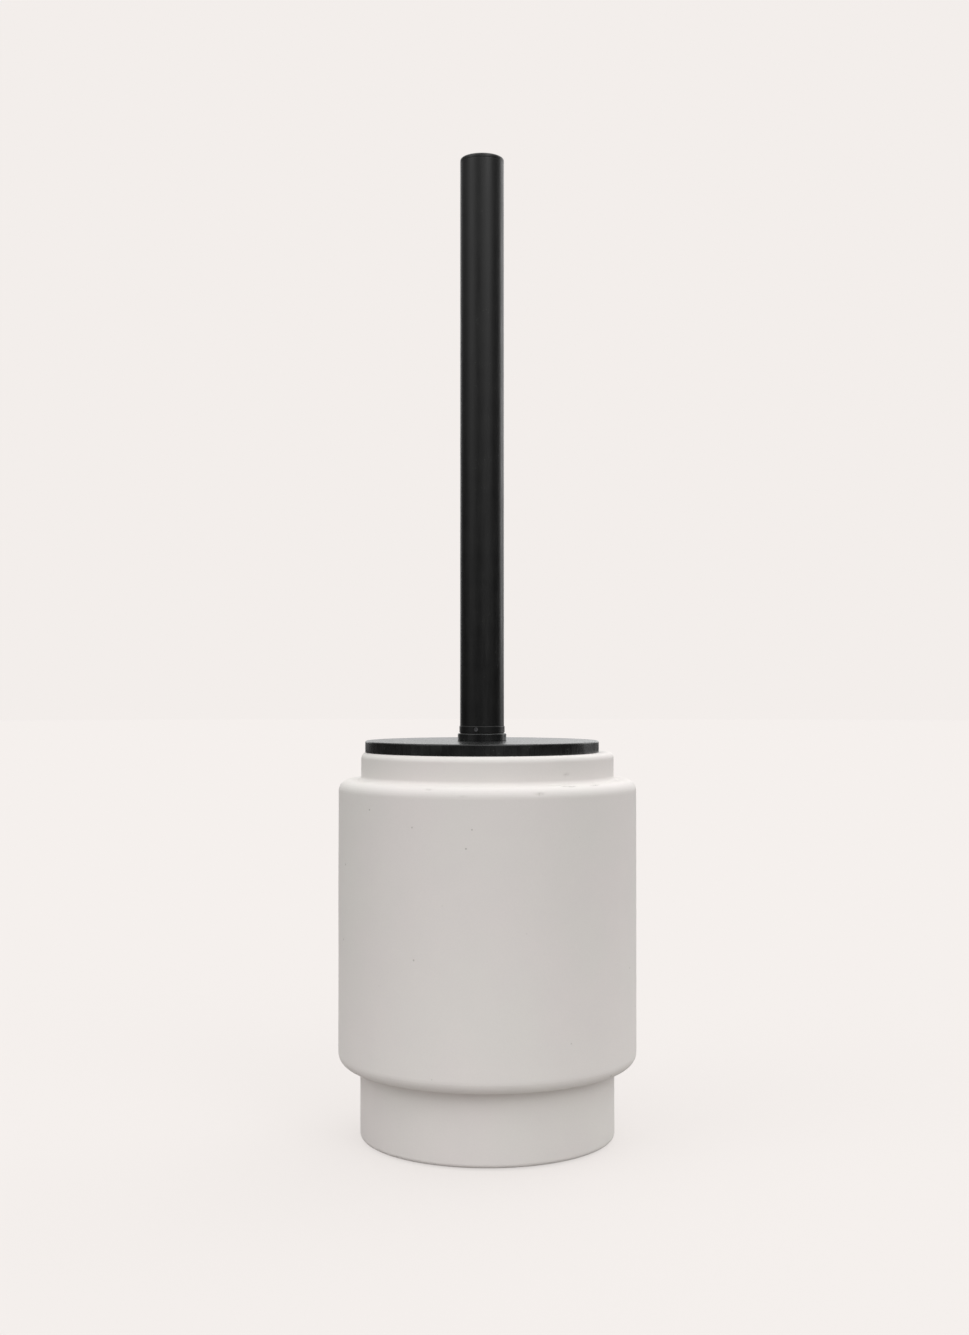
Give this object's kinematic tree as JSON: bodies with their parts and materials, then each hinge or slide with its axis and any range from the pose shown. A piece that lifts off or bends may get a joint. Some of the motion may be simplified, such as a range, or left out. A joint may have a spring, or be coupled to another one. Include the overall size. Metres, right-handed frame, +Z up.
{
  "type": "toilet brush holder",
  "caption": "Round matte pot on a recessed foot, with a toilet brush that hangs in it from a loose flat lid with a plain upright tube handle.",
  "frame": {"origin": "on the floor, at the centre of the pot's soft ring", "axes": "+Z up along the pot's axis, -Y towards the front, +X to the right seen from the front"},
  "size_m": [0.11, 0.11, 0.3625],
  "materials": {
    "stoneware": "matte",
    "soft_ring": "matte",
    "black_paint": "satin",
    "black_plastic": "matte",
    "dark_steel": "blackened",
    "bare_steel": "zinc plated",
    "bristle": "nylon filament",
    "staple_brass": "drawn"
  },
  "bodies": {
    "holder": {"pot": "stoneware", "anti_slip_ring": "soft_ring"},
    "lid": {"lid_disc": "black_paint", "lid_underplate": "black_plastic", "lid_collar": "black_paint", "lid_ring_nut": "black_plastic"},
    "brush": {"handle_tube": "black_paint", "handle_cap": "black_paint", "handle_insert": "black_paint", "locking_screw": "dark_steel", "slip_washer": "black_plastic", "neck_stud": "bare_steel", "brush_neck": "black_plastic", "head_core": "black_plastic", "bristle_row_1": "bristle", "bristle_row_2": "bristle", "bristle_row_3": "bristle", "bristle_row_4": "bristle", "bristle_row_5": "bristle", "bristle_row_6": "bristle", "tip_bristles": "bristle", "tuft_staples": "staple_brass"}
  },
  "joints": [
    {"name": "brush_lift", "type": "slide", "parent": "holder", "child": "lid", "axis": [0, 0, 1], "range_m": [0, 0.16]},
    {"name": "brush_turn", "type": "hinge", "parent": "lid", "child": "brush", "pos_m": [-0.002, 0, 0.14], "axis": [0, 0, 1], "continuous": true}
  ]
}
